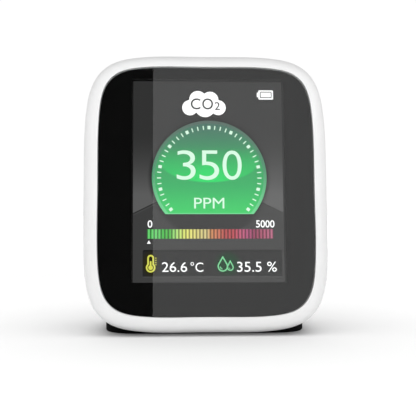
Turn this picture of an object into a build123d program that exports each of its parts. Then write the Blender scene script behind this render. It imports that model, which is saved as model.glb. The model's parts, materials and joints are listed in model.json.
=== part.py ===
from build123d import *
from math import cos, pi, radians, sin, tan
import os

# A battery powered carbon dioxide monitor for a desk: a squircle case that leans back on a rubber pad.
# It is modelled upright, with X to the viewer's right, Y into the case from the front of the glass and
# Z up the face, whose middle is at X = Z = 0. The last step leans it back and stands it on Z = 0.

# ---- case outline ----
LEAN = 8.0                            # degrees that the face leans back
CASE_W, CASE_H, CASE_D = 70.2, 80.2, 40.0
CASE_POWER = 5.14                     # superellipse exponent of the widest outline
LENS_W, LENS_H, LENS_POWER = 61.6, 71.7, 6.15
WALL = 2.0
RIM_DEPTH = 5.0                       # depth at which the rounded rim reaches full width
LENS_GAP, LAND = 0.1, 0.3             # gap round the lens, and the flat strip outside it
SEAM_Y = 7.0                          # where the front bezel meets the rear shell
SEAM_GROOVE = 0.3
REAR_INSET, REAR_POWER = 9.5, 4.2     # the rear panel's outline
REAR_ROUND = 2.4                      # exponent of the pillow shaped rear
LIP_T, LIP_LENGTH, LIP_GAP = 0.9, 1.5, 0.1
STEPS = 6                             # sections in each rounded stretch of the case

# ---- stack behind the glass ----
LENS_RECESS, LENS_T = 0.1, 1.1
FILM_T, TAPE_T, LEDGE_T, FOAM_T = 0.2, 0.3, 0.9, 0.3
FILM_INSET, TAPE_INSET, TAPE_SETBACK, EDGE_BREAK = 0.05, 0.3, 0.3, 0.1
PICTURE_W, PICTURE_H = 43.5, 58.4     # lit area of a 2.8 inch 3:4 panel
PICTURE_X, PICTURE_Z = 0.75, 3.1      # its centre on the face
WINDOW_MARGIN = 0.3                   # clear border in the black film
LEDGE_WINDOW_W, LEDGE_WINDOW_H, LEDGE_WINDOW_Z = 47.6, 63.2, 1.4
FOAM_BAND = 1.0
PANEL_W, PANEL_H, PANEL_Z = 50.0, 68.2, 0.5
PANEL_RIB_LONG = 7.0                  # ribs on the bezel that centre the panel
GLASS_T, GLASS_STEP = 0.6, 5.2        # each sheet of the cell, and the lower sheet's bare strip
GUIDE_T, TRAY_T, TRAY_WALL = 0.8, 0.2, 0.6
CARRIER_T, CARRIER_W, CARRIER_H, CARRIER_RIM = 2.7, 60.0, 64.0, 7.0
BOARD_W, BOARD_H, BOARD_T, BOARD_POWER = 61.0, 67.0, 1.6, 5.0
DRIVER_W, DRIVER_H, DRIVER_T = 17.0, 1.3, 0.4
FLEX_W, FLEX_T, FLEX_END_Z = 20.0, 0.2, -29.5

# ---- base ----
BASE_CUT, BASE_WALL = 0.3, 2.2        # base plane below the rim's lowest point
PAD_PROUD, PAD_POCKET, PAD_GAP = 0.4, 0.8, 0.1
PAD_W, PAD_D, PAD_ROUND, PAD_EDGE = 58.0, 27.0, 9.0, 0.3
PAD_FRONT, PAD_TALL = 2.2, 8.0        # measured level, behind the foot of the face and above the ground

# ---- fasteners ----
BOSS_X, BOSS_Z = 28.4, 27.0
BEZEL_BOSS_R, SHELL_BOSS_R, WELL_R = 2.3, 3.4, 2.4
BOSS_END_Y, SOCKET_DEPTH, SEAT_Y = 16.0, 1.5, 18.6
CASE_SCREW = {"r": 1.0, "head_r": 1.9, "head_t": 1.3, "length": 10.0}
POST_Z, POST_R = 9.0, 2.1
BOARD_SCREW = {"r": 0.8, "head_r": 1.6, "head_t": 1.0, "length": 4.6}
PILOT_UNDERSIZE, PILOT_DEPTH, CLEAR = 0.15, 9.0, 0.3
SCREW_PLUG_Y, SCREW_PLUG_GAP = 26.0, 0.05     # front of the plugs that close the screw wells

# ---- components on the main board: x, z, width, height, how far they stand off, corner radius ----
PROCESSOR = (-3.0, -12.0, 9.0, 9.0, 1.0, 0.2)
CHARGER = (9.0, -20.0, 4.0, 4.0, 0.8, 0.2)
CRYSTAL = (-12.0, -12.0, 2.5, 3.2, 0.8, 0.3)
INDUCTOR = (17.0, -15.0, 5.0, 5.0, 2.8, 1.0)
CAPACITOR = (1.6, 0.8, 0.8, 0.1)              # width, height, how far it stands off, corner radius
CAPACITOR_PITCH = 3.2
CAPACITOR_ROWS = ((6.0, -25.0, 5), (-9.0, -20.5, 4))
BUZZER_X, BUZZER_Z, BUZZER_R, BUZZER_T, BUZZER_HOLE_R = -20.0, -21.0, 4.5, 4.0, 0.8
FLEX_CONNECTOR_EXTRA, FLEX_CONNECTOR_H, FLEX_CONNECTOR_T, FLEX_RISE = 4.0, 4.4, 2.0, 1.0

# ---- button and its switch ----
BUTTON_X, BUTTON_Y, BUTTON_W, BUTTON_D = 0.0, 12.2, 13.0, 5.0
BUTTON_PROUD, BUTTON_GAP, BUTTON_TRAVEL = 0.7, 0.1, 0.3
FLANGE_EXTRA, FLANGE_T, FLANGE_PLAY = 0.9, 0.8, 0.4
STEM_R, PLUNGER_R, PLUNGER_TOP, PLUNGER_LONG = 1.4, 1.1, 35.4, 1.9
SWITCH_W, SWITCH_D, SWITCH_Z0, SWITCH_Z1 = 6.0, 5.0, 30.0, 34.3
GUIDE_HALF_D, GUIDE_DROP = 3.0, 3.2    # ribs beside the cap
STEM_SLACK = 0.03

# ---- socket for charging ----
USB_Z, USB_W, USB_T, USB_LONG = -17.0, 8.94, 3.2, 7.3
USB_MOUTH_X, USB_SKIN = 32.6, 0.3
USB_TONGUE_W, USB_TONGUE_T, USB_TONGUE_LONG, USB_BASE = 6.69, 0.7, 4.45, 1.5
PLUG_POCKET_W, PLUG_POCKET_T, PLUG_POCKET_X = 12.4, 6.0, 33.6

# ---- battery ----
BATTERY_W, BATTERY_H, BATTERY_T, BATTERY_Z = 38.0, 28.0, 7.0, -10.8
BATTERY_TAPE_T, BATTERY_TAPE_INSET, BATTERY_ROUND = 0.3, 2.0, 1.6
RAIL_T, RAIL_LONG, RAIL_DEPTH, RAIL_GAP = 1.0, 16.0, 4.0, 0.4
SOCKET_X, SOCKET_Z, SOCKET_W, SOCKET_H, SOCKET_D, SOCKET_WALL = 20.0, 12.0, 6.0, 4.5, 6.0, 0.6
PLUG_GAP, PLUG_LONG = 0.1, 6.0
LEAD_R, LEAD_PITCH, LEAD_SHIFT, LEAD_BEND_Y, LEAD_DROP = 0.6, 2.0, 3.2, 27.0, 6.0

# ---- air sensors and vents ----
CO2_X, CO2_Z, CO2_W, CO2_H = -7.5, 18.0, 33.0, 20.0
CO2_STAND, CO2_BOARD_T, CO2_CELL_T, MEMBRANE_R, MEMBRANE_T = 2.0, 1.0, 8.4, 3.2, 0.3
PIN_R, PIN_PITCH = 0.32, 2.54
CLIMATE_X, CLIMATE_Z, CLIMATE_W, CLIMATE_H, CLIMATE_T, CLIMATE_STAND = -25.5, -2.0, 9.0, 12.0, 1.0, 2.6
VENT_Z, VENT_FIELD_R, VENT_SLOT, VENT_PITCH = 16.0, 10.6, 1.5, 3.03
SIDE_SLOT_LONG, SIDE_SLOT_Y, SIDE_SLOTS = 12.0, 21.0, 4
FILTER_R, FILTER_T = 11.8, 0.3

# ---- depths and heights that follow from the sizes above ----
LENS_BACK = LENS_RECESS + LENS_T
FILM_BACK = LENS_BACK + FILM_T
LEDGE_Y = FILM_BACK + TAPE_T
LEDGE_BACK = LEDGE_Y + LEDGE_T
PANEL_Y = LEDGE_BACK + FOAM_T
CELL_BACK = PANEL_Y + 2 * GLASS_T
PANEL_BACK = CELL_BACK + GUIDE_T + TRAY_T
BOARD_Y = PANEL_BACK + CARRIER_T
BOARD_BACK = BOARD_Y + BOARD_T
INNER_BACK = CASE_D - WALL
RIM_W = (CASE_W - LENS_W) / 2
REBATE = WALL - LIP_T - LIP_GAP
USB_Y = BOARD_BACK + USB_T / 2
RIM_LOW = -CASE_H / 2 * cos(radians(LEAN)) - RIM_DEPTH * sin(radians(LEAN))
GROUND = RIM_LOW - BASE_CUT - PAD_PROUD
FAR = 100.0                            # longer than the case in every direction
CORNERS = [(sx, sz) for sx in (-1, 1) for sz in (-1, 1)]


def squircle(half_w, half_h, power, y):
    """Closed superellipse wire in the plane at depth y."""
    steps = 8
    turns = [i * pi / 2 / steps for i in range(steps)]
    corner = [(half_w * cos(t) ** (2 / power), half_h * sin(t) ** (2 / power)) for t in turns]
    corner.append((0.0, half_h))
    edges = []
    for sx, sz in ((1, 1), (-1, 1), (-1, -1), (1, -1)):
        points = [Vector(sx * x, y, sz * z) for x, z in corner]
        edges.append(Edge.make_spline(points, tangents=[Vector(0, 0, sz), Vector(-sx, 0, 0)]))
    return Wire(edges)


def power_at(inset):
    """Superellipse exponent that keeps an even rim at this distance inside the widest outline."""
    return CASE_POWER + (LENS_POWER - CASE_POWER) * inset / RIM_W


def outline(inset, y):
    """Case outline moved inwards by inset, at depth y."""
    return squircle(CASE_W / 2 - inset, CASE_H / 2 - inset, power_at(inset), y)


def lens_outline(inset, y):
    """Outline of the glass moved inwards by inset, at depth y."""
    return squircle(LENS_W / 2 - inset, LENS_H / 2 - inset, LENS_POWER, y)


def prism(wire, length):
    """Solid swept towards the back from a wire in a depth plane."""
    return Solid.extrude(Face(wire), Vector(0, length, 0))


def slab(sketch, y0, y1):
    """Solid from a sketch drawn as (x, z), between two depths."""
    plane = Plane(origin=(0, y0, 0), x_dir=(1, 0, 0), z_dir=(0, -1, 0))
    return extrude(plane * sketch, amount=-(y1 - y0))


def sideways(sketch, x0, x1):
    """Solid from a sketch drawn as (y, z), between two places along X."""
    plane = Plane(origin=(x0, 0, 0), x_dir=(0, 1, 0), z_dir=(1, 0, 0))
    return extrude(plane * sketch, amount=x1 - x0)


def upwards(sketch, z0, z1):
    """Solid from a sketch drawn as (x, y), between two heights on the face."""
    return extrude(Pos(0, 0, z0) * sketch, amount=z1 - z0)


def rod(x, z, r, y0, y1):
    """Cylinder along the depth axis."""
    return slab(Pos(x, z) * Circle(r), y0, y1)


def plate(x, z, w, h, y0, y1, r=0.3):
    """Rectangular plate with rounded corners, centred on (x, z)."""
    return slab(Pos(x, z) * RectangleRounded(w, h, r), y0, y1)


def block(x0, x1, y0, y1, z0, z1):
    """Box between three pairs of limits."""
    return Pos((x0 + x1) / 2, (y0 + y1) / 2, (z0 + z1) / 2) * Box(x1 - x0, y1 - y0, z1 - z0)


def from_ground(shape):
    """Carries a shape that is built on level ground into the upright frame of the case."""
    return Rot(LEAN, 0, 0) * Pos(0, 0, GROUND) * shape


def underside(height):
    """Everything lower than a level plane this far above the ground."""
    return from_ground(Pos(0, CASE_D / 2, height - FAR) * Box(2 * FAR, 2 * FAR, 2 * FAR))


def pad_column(extra, height):
    """Upright column over the pad's outline, widened by extra, from the ground to this height."""
    outline_of_pad = RectangleRounded(PAD_W + 2 * extra, PAD_D + 2 * extra, PAD_ROUND + extra)
    return extrude(Pos(0, PAD_FRONT + PAD_D / 2) * outline_of_pad, amount=height)


def rear_sections(wall):
    """Sections of the pillow shaped rear, a wall's thickness inside, from past the seam to the panel."""
    wires = []
    for i in range(1, STEPS + 1):
        turn = i * pi / 2 / STEPS
        inset = REAR_INSET * (1 - max(cos(turn), 0.0) ** (2 / REAR_ROUND))
        power = power_at(wall) + (REAR_POWER - power_at(wall)) * inset / REAR_INSET
        y = SEAM_Y + (CASE_D - wall - SEAM_Y) * sin(turn) ** (2 / REAR_ROUND)
        wires.append(squircle(CASE_W / 2 - wall - inset, CASE_H / 2 - wall - inset, power, y))
    return wires


def outer_body():
    """Whole case as one solid, from the land round the lens to the rear panel."""
    radial = RIM_W - LENS_GAP - LAND
    turns = [i * pi / 2 / STEPS for i in range(STEPS + 1)]
    rim = [outline(radial * (1 - sin(t)), RIM_DEPTH * (1 - cos(t))) for t in turns]
    return Solid.make_loft(rim + [outline(0, SEAM_Y)] + rear_sections(0))


def inner_space():
    """Space inside the walls, from the back of the ledge to the inside of the rear panel."""
    depths = (LEDGE_BACK, (LEDGE_BACK + SEAM_Y) / 2, SEAM_Y)
    return Solid.make_loft([outline(WALL, y) for y in depths] + rear_sections(WALL))


def pill(length, width):
    """Slot outline with round ends, its length along the first axis."""
    return SlotOverall(length, width)


# ---- case ----
def front_bezel():
    """Front frame with the lens pocket, its ledge, a rebate for the shell's lip, and screw bosses."""
    frame = outer & block(-FAR, FAR, -1, SEAM_Y, -FAR, FAR)
    frame -= inner
    frame -= prism(lens_outline(-LENS_GAP, -1), 1 + LEDGE_Y)
    frame -= plate(0, LEDGE_WINDOW_Z, LEDGE_WINDOW_W, LEDGE_WINDOW_H, 0, LEDGE_BACK + 1, r=1.5)
    frame -= prism(outline(REBATE, SEAM_Y - LIP_LENGTH - LIP_GAP), SEAM_Y)
    root = LEDGE_Y + LEDGE_T / 2
    for sx, sz in CORNERS:
        frame += rod(sx * BOSS_X, sz * BOSS_Z, BEZEL_BOSS_R, root, BOSS_END_Y)
        frame += rod(sx * BOSS_X, sz * POST_Z, POST_R, root, BOARD_Y)
        rib_x = sx * (PANEL_W / 2 + CLEAR + RAIL_T / 2)
        frame += plate(rib_x, sz * 2 * POST_Z, RAIL_T, PANEL_RIB_LONG, root, PANEL_BACK - CLEAR)
    for sx, sz in CORNERS:
        case_pilot = CASE_SCREW["r"] - PILOT_UNDERSIZE
        board_pilot = BOARD_SCREW["r"] - PILOT_UNDERSIZE
        frame -= rod(sx * BOSS_X, sz * BOSS_Z, case_pilot, BOSS_END_Y - PILOT_DEPTH, BOSS_END_Y + 1)
        frame -= rod(sx * BOSS_X, sz * POST_Z, board_pilot, BOARD_Y - PILOT_DEPTH / 2, BOARD_Y + 1)
    return frame


def vent_slots():
    """Rows of slots that fill a circle on the rear panel."""
    rows = int(VENT_FIELD_R // VENT_PITCH)
    slots = []
    for row in range(-rows, rows + 1):
        length = 2 * (VENT_FIELD_R**2 - (row * VENT_PITCH) ** 2) ** 0.5
        sketch = Pos(0, VENT_Z + row * VENT_PITCH) * pill(length, VENT_SLOT)
        slots.append(slab(sketch, INNER_BACK - 1, CASE_D + 1))
    return slots


def side_slots():
    """Short slots in the left wall, beside the climate sensor."""
    slots = []
    for row in range(SIDE_SLOTS):
        z = CLIMATE_Z + (row - (SIDE_SLOTS - 1) / 2) * VENT_PITCH
        sketch = Pos(SIDE_SLOT_Y, z) * pill(SIDE_SLOT_LONG, VENT_SLOT)
        slots.append(sideways(sketch, -CASE_W, -CASE_W / 2 + 3 * WALL))
    return slots


def rear_shell():
    """Pillow shaped rear with a flat base, screw wells, vents, and openings for button and socket."""
    shell = outer & block(-FAR, FAR, SEAM_Y, FAR, -FAR, FAR)
    groove = block(-FAR, FAR, SEAM_Y, SEAM_Y + SEAM_GROOVE, -FAR, FAR)
    shell -= groove - prism(outline(SEAM_GROOVE, SEAM_Y - 1), 2)
    shell -= underside(PAD_PROUD)
    socket_y = BOSS_END_Y - SOCKET_DEPTH
    posts = [rod(sx * BOSS_X, sz * BOSS_Z, SHELL_BOSS_R, socket_y, CASE_D) for sx, sz in CORNERS]
    shell -= inner - underside(PAD_PROUD + BASE_WALL) - posts
    lip = prism(outline(WALL - LIP_T, SEAM_Y - LIP_LENGTH), LIP_LENGTH + 0.5)
    shell += lip - prism(outline(WALL, SEAM_Y - LIP_LENGTH - 1), LIP_LENGTH + 3)
    guide_x = BUTTON_W / 2 + FLANGE_EXTRA + CLEAR + RAIL_T / 2
    rail_x = BATTERY_W / 2 + RAIL_GAP + RAIL_T / 2
    wall_top = CASE_H / 2 - WALL / 2
    for side in (-1, 1):
        guide = Pos(BUTTON_X + side * guide_x, BUTTON_Y) * Rectangle(RAIL_T, 2 * GUIDE_HALF_D)
        shell += upwards(guide, wall_top - GUIDE_DROP, wall_top)
        rail_y0, rail_y1 = INNER_BACK - RAIL_DEPTH, INNER_BACK + WALL / 2
        shell += plate(side * rail_x, BATTERY_Z, RAIL_T, RAIL_LONG, rail_y0, rail_y1)
    for sx, sz in CORNERS:
        x, z = sx * BOSS_X, sz * BOSS_Z
        shell -= rod(x, z, WELL_R, SEAT_Y, CASE_D + 1)
        shell -= rod(x, z, CASE_SCREW["r"] + CLEAR, BOSS_END_Y - 1, SEAT_Y + 1)
        shell -= rod(x, z, BEZEL_BOSS_R + LIP_GAP, socket_y - 1, BOSS_END_Y)
    opening = Pos(BUTTON_X, BUTTON_Y) * pill(BUTTON_W + 2 * BUTTON_GAP, BUTTON_D + 2 * BUTTON_GAP)
    shell -= upwards(opening, CASE_H / 2 - 2 * WALL, CASE_H / 2 + 2)
    upright = Pos(USB_Y, USB_Z) * Rot(0, 0, 90)
    shell -= sideways(upright * pill(USB_W + 2 * CLEAR, USB_T + 2 * CLEAR), CASE_W / 2 - 5, CASE_W / 2 + 1)
    shell -= sideways(upright * pill(PLUG_POCKET_W, PLUG_POCKET_T), PLUG_POCKET_X, CASE_W / 2 + 1)
    for slot in vent_slots() + side_slots():
        shell -= slot
    return shell - from_ground(pad_column(PAD_GAP, PAD_PROUD + PAD_POCKET))


def screw_plugs():
    """Soft plugs that close the screw wells, flush with the rounded rear."""
    r = WELL_R - SCREW_PLUG_GAP
    return [rod(sx * BOSS_X, sz * BOSS_Z, r, SCREW_PLUG_Y, CASE_D) & outer for sx, sz in CORNERS]


def base_pad():
    """Rubber pad that sits in the base's pocket and rises at its ends to the curved underside."""
    column = pad_column(0, PAD_TALL)
    column = chamfer(column.edges().group_by(Axis.Z)[0], PAD_EDGE)
    return from_ground(column) - (outer - underside(PAD_PROUD + PAD_POCKET))


def dust_filter():
    """Disc of filter cloth stuck over the vents, inside the rear panel."""
    return rod(0, VENT_Z, FILTER_R, INNER_BACK - FILTER_T, INNER_BACK)


# ---- front stack ----
def cover_lens():
    """Flat front glass with a broken edge."""
    lens = prism(lens_outline(0, LENS_RECESS), LENS_T)
    return chamfer(lens.edges().group_by(Axis.Y)[0], EDGE_BREAK)


def mask_film():
    """Black film behind the glass, with a clear window for the picture."""
    window = plate(PICTURE_X, PICTURE_Z, PICTURE_W + 2 * WINDOW_MARGIN, PICTURE_H + 2 * WINDOW_MARGIN, 0, 3)
    return prism(lens_outline(FILM_INSET, LENS_BACK), FILM_T) - window


def lens_tape():
    """Ring of double sided tape that holds the glass on its ledge."""
    w, h = LEDGE_WINDOW_W + 2 * TAPE_SETBACK, LEDGE_WINDOW_H + 2 * TAPE_SETBACK
    return prism(lens_outline(TAPE_INSET, FILM_BACK), TAPE_T) - plate(0, LEDGE_WINDOW_Z, w, h, 0, LEDGE_Y + 1, r=2)


def lcd_gasket():
    """Foam frame between the ledge and the panel."""
    w, h = LEDGE_WINDOW_W, LEDGE_WINDOW_H
    ring = plate(0, LEDGE_WINDOW_Z, w + 2 * FOAM_BAND, h + 2 * FOAM_BAND, LEDGE_BACK, PANEL_Y, r=1.5)
    return ring - plate(0, LEDGE_WINDOW_Z, w, h, LEDGE_BACK - 1, PANEL_Y + 1, r=1.0)


def lcd_glass():
    """Liquid crystal cell: a long rear sheet and a front sheet that leaves a bare strip below."""
    front_h = PANEL_H - GLASS_STEP
    front = plate(0, PANEL_Z + GLASS_STEP / 2, PANEL_W, front_h, PANEL_Y, PANEL_Y + GLASS_T)
    return front + plate(0, PANEL_Z, PANEL_W, PANEL_H, PANEL_Y + GLASS_T, CELL_BACK)


def lcd_driver_chip():
    """Driver chip bonded on the bare strip of the rear glass sheet."""
    z = PANEL_Z - PANEL_H / 2 + GLASS_STEP - DRIVER_H
    return plate(0, z, DRIVER_W, DRIVER_H, PANEL_Y + GLASS_T - DRIVER_T, PANEL_Y + GLASS_T, r=0.1)


def light_guide():
    """Clear plate that spreads the backlight."""
    room = 2 * TRAY_WALL + 0.2
    return plate(0, PANEL_Z, PANEL_W - room, PANEL_H - room, CELL_BACK, CELL_BACK + GUIDE_T)


def lcd_frame():
    """Pressed metal tray that holds the light guide behind the cell."""
    tray = plate(0, PANEL_Z, PANEL_W, PANEL_H, CELL_BACK, PANEL_BACK, r=0.5)
    inside = 2 * TRAY_WALL
    return tray - plate(0, PANEL_Z, PANEL_W - inside, PANEL_H - inside, CELL_BACK - 1, CELL_BACK + GUIDE_T)


def display_flex():
    """Flat cable that leaves the cell's bare strip and loops under the boards to its connector."""
    y0, y1 = PANEL_Y + GLASS_T - FLEX_T / 2, BOARD_BACK + FLEX_RISE
    z0 = PANEL_Z - PANEL_H / 2
    r = (y1 - y0) / 2
    loop = ThreePointArc((0, y0, z0), (0, y0 + r, z0 - r), (0, y1, z0))
    path = Line((0, y0, z0 + 2), (0, y0, z0)) + loop + Line((0, y1, z0), (0, y1, FLEX_END_Z))
    section = Plane(origin=(0, y0, z0 + 2), x_dir=(1, 0, 0), z_dir=(0, 0, -1)) * Rectangle(FLEX_W, FLEX_T)
    return sweep(section, path=path)


def display_carrier():
    """Moulded frame that presses the panel to its gasket and spaces the main board."""
    w, h = CARRIER_W, CARRIER_H
    frame = plate(0, PANEL_Z, w, h, PANEL_BACK, BOARD_Y, r=8)
    inner_w, inner_h = w - 2 * CARRIER_RIM, (h - 3 * CARRIER_RIM) / 2
    for side in (-1, 1):
        z = PANEL_Z + side * (inner_h + CARRIER_RIM) / 2
        frame -= plate(0, z, inner_w, inner_h, PANEL_BACK - 1, BOARD_Y + 1, r=2)
    for sx, sz in CORNERS:
        frame -= rod(sx * BOSS_X, sz * BOSS_Z, BEZEL_BOSS_R + CLEAR, PANEL_BACK - 1, BOARD_Y + 1)
        frame -= rod(sx * BOSS_X, sz * POST_Z, POST_R + CLEAR, PANEL_BACK - 1, BOARD_Y + 1)
    return frame


# ---- electronics ----
def main_board():
    """Circuit board with notches for the case bosses and holes for its screws."""
    board = prism(squircle(BOARD_W / 2, BOARD_H / 2, BOARD_POWER, BOARD_Y), BOARD_T)
    for sx, sz in CORNERS:
        board -= rod(sx * BOSS_X, sz * BOSS_Z, BEZEL_BOSS_R + CLEAR, BOARD_Y - 1, BOARD_BACK + 1)
        board -= rod(sx * BOSS_X, sz * POST_Z, BOARD_SCREW["r"] + CLEAR / 2, BOARD_Y - 1, BOARD_BACK + 1)
    return board


def screw(size, x, z, seat_y):
    """Cross recessed pan head screw that enters towards the front, its head on seat_y."""
    body = rod(x, z, size["head_r"], seat_y, seat_y + size["head_t"])
    body = fillet(body.edges().group_by(Axis.Y)[-1], size["head_t"] / 3)
    body += rod(x, z, size["r"], seat_y - size["length"], seat_y + 0.2)
    arm, width = size["head_r"], size["head_r"] / 4
    for w, h in ((arm, width), (width, arm)):
        top = seat_y + size["head_t"]
        body -= slab(Pos(x, z) * Rectangle(w, h), top - size["head_t"] * 0.6, top + 1)
    return body


def case_screws():
    """Four screws from the rear wells into the bezel's bosses."""
    return [screw(CASE_SCREW, sx * BOSS_X, sz * BOSS_Z, SEAT_Y) for sx, sz in CORNERS]


def board_screws():
    """Four screws that hold the main board on the bezel's posts."""
    return [screw(BOARD_SCREW, sx * BOSS_X, sz * POST_Z, BOARD_BACK) for sx, sz in CORNERS]


def on_board(x, z, w, h, tall, r=0.3):
    """Component that stands this tall on the back of the main board."""
    return plate(x, z, w, h, BOARD_BACK, BOARD_BACK + tall, r)


def flex_connector():
    """Low connector with a mouth that the display's flat cable enters from below."""
    half_w, half_t = FLEX_W / 2 + LIP_GAP, FLEX_T / 2 + LIP_GAP / 2
    y, z = BOARD_BACK + FLEX_RISE, FLEX_END_Z
    body = on_board(0, z + CLEAR, FLEX_W + FLEX_CONNECTOR_EXTRA, FLEX_CONNECTOR_H, FLEX_CONNECTOR_T)
    return body - block(-half_w, half_w, y - half_t, y + half_t, z - FLEX_CONNECTOR_H, z + LIP_GAP)


def capacitors():
    """Small ceramic capacitors in a row beside the charging circuit, and a row under the processor."""
    rows = CAPACITOR_ROWS
    return [on_board(x + i * CAPACITOR_PITCH, z, *CAPACITOR) for x, z, count in rows for i in range(count)]


def power_inductor():
    """Square power inductor with rounded shoulders."""
    body = on_board(*INDUCTOR)
    return fillet(body.edges().group_by(Axis.Y)[-1], 0.4)


def buzzer():
    """Round sounder with a hole in its lid."""
    lid = BOARD_BACK + BUZZER_T
    body = rod(BUZZER_X, BUZZER_Z, BUZZER_R, BOARD_BACK, lid)
    return body - rod(BUZZER_X, BUZZER_Z, BUZZER_HOLE_R, lid - BUZZER_T / 2, lid + 1)


def usb_c_shell():
    """Metal shell of the charging socket, closed at its inner end."""
    place = Pos(USB_Y, USB_Z) * Rot(0, 0, 90)
    shell = sideways(place * pill(USB_W, USB_T), USB_MOUTH_X - USB_LONG, USB_MOUTH_X)
    hollow = place * pill(USB_W - 2 * USB_SKIN, USB_T - 2 * USB_SKIN)
    return shell - sideways(hollow, USB_MOUTH_X - USB_LONG + USB_SKIN, USB_MOUTH_X + 1)


def usb_c_tongue():
    """Moulded core of the socket, with the tongue that carries its contacts."""
    place = Pos(USB_Y, USB_Z) * Rot(0, 0, 90)
    start = USB_MOUTH_X - USB_LONG + USB_SKIN
    fit = 2 * (USB_SKIN + 0.05)
    core = sideways(place * pill(USB_W - fit, USB_T - fit), start, start + USB_BASE)
    tongue_end = start + USB_BASE + USB_TONGUE_LONG
    return core + sideways(place * RectangleRounded(USB_TONGUE_W, USB_TONGUE_T, 0.2), start, tongue_end)


def battery_connector():
    """Open topped header that the battery plug pushes into."""
    body = on_board(SOCKET_X, SOCKET_Z, SOCKET_W, SOCKET_H, SOCKET_D)
    w, h = SOCKET_W - 2 * SOCKET_WALL, SOCKET_H - 2 * SOCKET_WALL
    return body - plate(SOCKET_X, SOCKET_Z, w, h, BOARD_BACK + 1, BOARD_BACK + SOCKET_D + 1, r=0.1)


PLUG_BACK = BOARD_BACK + 1 + PLUG_LONG


def battery_plug():
    """Two way plug on the battery leads."""
    inside = 2 * (SOCKET_WALL + PLUG_GAP)
    w, h = SOCKET_W - inside, SOCKET_H - inside
    body = plate(SOCKET_X, SOCKET_Z, w, h, BOARD_BACK + 1, PLUG_BACK, r=0.2)
    return fillet(body.edges().group_by(Axis.Y)[-1], 0.2)


def battery_lead(side):
    """Insulated lead from the plug, back and down to the battery's top edge."""
    top = BATTERY_Z + BATTERY_H / 2
    y = INNER_BACK - BATTERY_TAPE_T - BATTERY_T / 2
    x0 = SOCKET_X + side * LEAD_PITCH / 2
    x1 = x0 - LEAD_SHIFT
    route = [(x0, PLUG_BACK, SOCKET_Z), (x0, LEAD_BEND_Y, SOCKET_Z + LEAD_R)]
    route += [(x1, y, top + LEAD_DROP), (x1, y, top)]
    runs = [Vector(*b) - Vector(*a) for a, b in zip(route, route[1:])]
    radii = []
    for a, b in zip(runs, runs[1:]):
        half_turn = radians(a.get_angle(b)) / 2
        radii.append(0.45 * min(a.length, b.length) / tan(half_turn))
    path = FilletPolyline(*route, radius=radii)
    section = Plane(origin=route[0], z_dir=runs[0]) * Circle(LEAD_R)
    return sweep(section, path=path)


def battery_cell():
    """Pouch cell with soft edges and a folded seal along its top."""
    back = INNER_BACK - BATTERY_TAPE_T
    cell = plate(0, BATTERY_Z, BATTERY_W, BATTERY_H, back - BATTERY_T, back, r=BATTERY_ROUND)
    return fillet(cell.edges().filter_by(Plane.XZ), BATTERY_ROUND * 0.8)


def battery_tape():
    """Double sided pad between the battery and the rear panel."""
    w, h = BATTERY_W - 4 * BATTERY_TAPE_INSET, BATTERY_H - 4 * BATTERY_TAPE_INSET
    return plate(0, BATTERY_Z, w, h, INNER_BACK - BATTERY_TAPE_T, INNER_BACK, r=1)


# ---- air sensors ----
CO2_BOARD_Y = BOARD_BACK + CO2_STAND
CO2_CELL_Y = CO2_BOARD_Y + CO2_BOARD_T
CO2_BACK = CO2_CELL_Y + CO2_CELL_T


def co2_board():
    """Small board that carries the gas cell."""
    return plate(CO2_X, CO2_Z, CO2_W, CO2_H, CO2_BOARD_Y, CO2_CELL_Y, r=1)


def membrane_places():
    """Middle of each gas inlet on the cell's cover."""
    return [(CO2_X + side * CO2_W / 4, CO2_Z + side * CO2_H / 7) for side in (-1, 1)]


def co2_cell():
    """Optical cell with two round recesses where gas enters."""
    cell = plate(CO2_X, CO2_Z, CO2_W - 2, CO2_H - 2, CO2_CELL_Y, CO2_BACK, r=1.2)
    cell = chamfer(cell.edges().group_by(Axis.Y)[-1], 0.6)
    for x, z in membrane_places():
        cell -= rod(x, z, MEMBRANE_R, CO2_BACK - 2 * MEMBRANE_T, CO2_BACK + 1)
        cell -= rod(x, z, MEMBRANE_R - 1, CO2_BACK - 3, CO2_BACK)
    return cell


def co2_membranes():
    """Two filter discs over the cell's inlets."""
    y = CO2_BACK - 2 * MEMBRANE_T
    return [rod(x, z, MEMBRANE_R, y, y + MEMBRANE_T) for x, z in membrane_places()]


def pin_row(x, z_middle, count, y0, y1):
    """Row of header pins between two boards."""
    return [rod(x, z_middle + (i - (count - 1) / 2) * PIN_PITCH, PIN_R, y0, y1) for i in range(count)]


def co2_pins():
    """Two rows of pins that raise the gas sensor off the main board."""
    reach = CO2_W / 2 - 1.5
    left = pin_row(CO2_X - reach, CO2_Z, 5, BOARD_BACK, CO2_BOARD_Y)
    return left + pin_row(CO2_X + reach, CO2_Z, 4, BOARD_BACK, CO2_BOARD_Y)


def climate_board():
    """Slip of board that holds the temperature and humidity sensor away from warm parts."""
    y = BOARD_BACK + CLIMATE_STAND
    return plate(CLIMATE_X, CLIMATE_Z, CLIMATE_W, CLIMATE_H, y, y + CLIMATE_T)


def climate_chip():
    """Temperature and humidity sensor with an open port."""
    y = BOARD_BACK + CLIMATE_STAND + CLIMATE_T
    chip = plate(CLIMATE_X - 2, CLIMATE_Z, 2.5, 2.5, y, y + 0.9, r=0.1)
    return chip - rod(CLIMATE_X - 2, CLIMATE_Z, 0.6, y + 0.4, y + 2)


def climate_pins():
    """Pins under the climate board."""
    x = CLIMATE_X + CLIMATE_W / 2 - 1.4
    return pin_row(x, CLIMATE_Z, 4, BOARD_BACK, BOARD_BACK + CLIMATE_STAND)


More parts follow.
